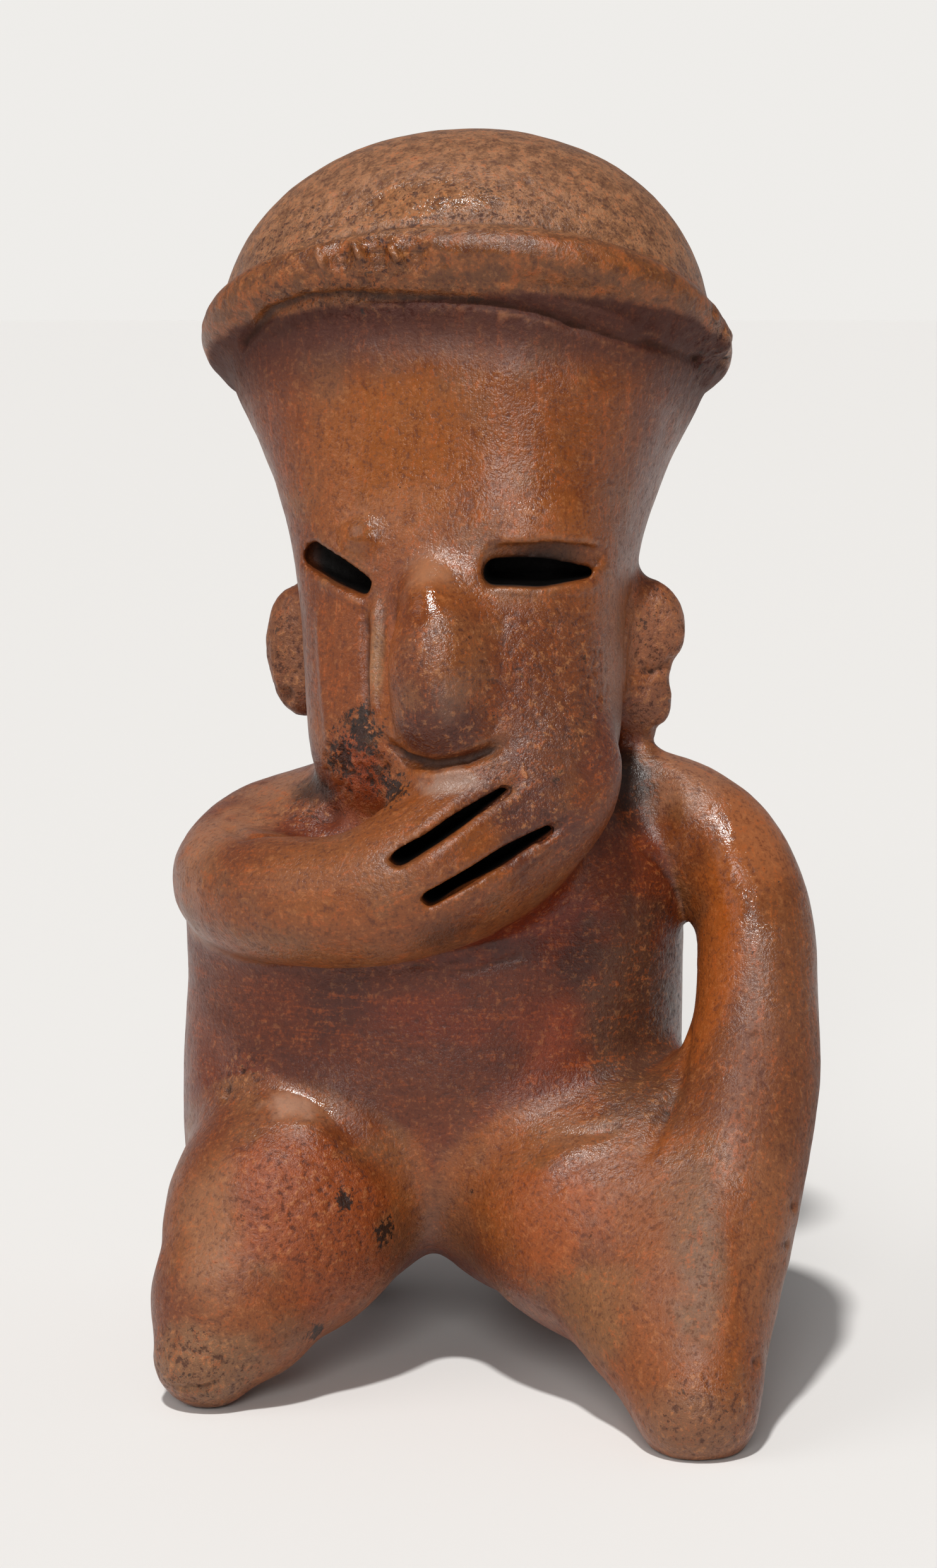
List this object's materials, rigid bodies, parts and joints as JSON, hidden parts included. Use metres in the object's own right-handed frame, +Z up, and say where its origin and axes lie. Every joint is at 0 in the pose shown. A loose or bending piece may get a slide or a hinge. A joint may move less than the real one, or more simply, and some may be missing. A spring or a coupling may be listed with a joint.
{
  "type": "seated earthenware figure",
  "caption": "Hand-built burnished earthenware figure, seated, with a domed cap and brow roll, slit eyes, one hand over the mouth and the other arm bowed down to a stubby leg.",
  "frame": {"origin": "on the ground, under the middle of the figure's bounding box", "axes": "+Z up, the figure faces -Y, and its left side is on +X"},
  "size_m": [0.106, 0.1142, 0.2],
  "materials": {
    "burnished_clay": "burnished red-brown slip, satin"
  },
  "bodies": {
    "root": {"seated_figure": "burnished_clay"}
  },
  "joints": []
}
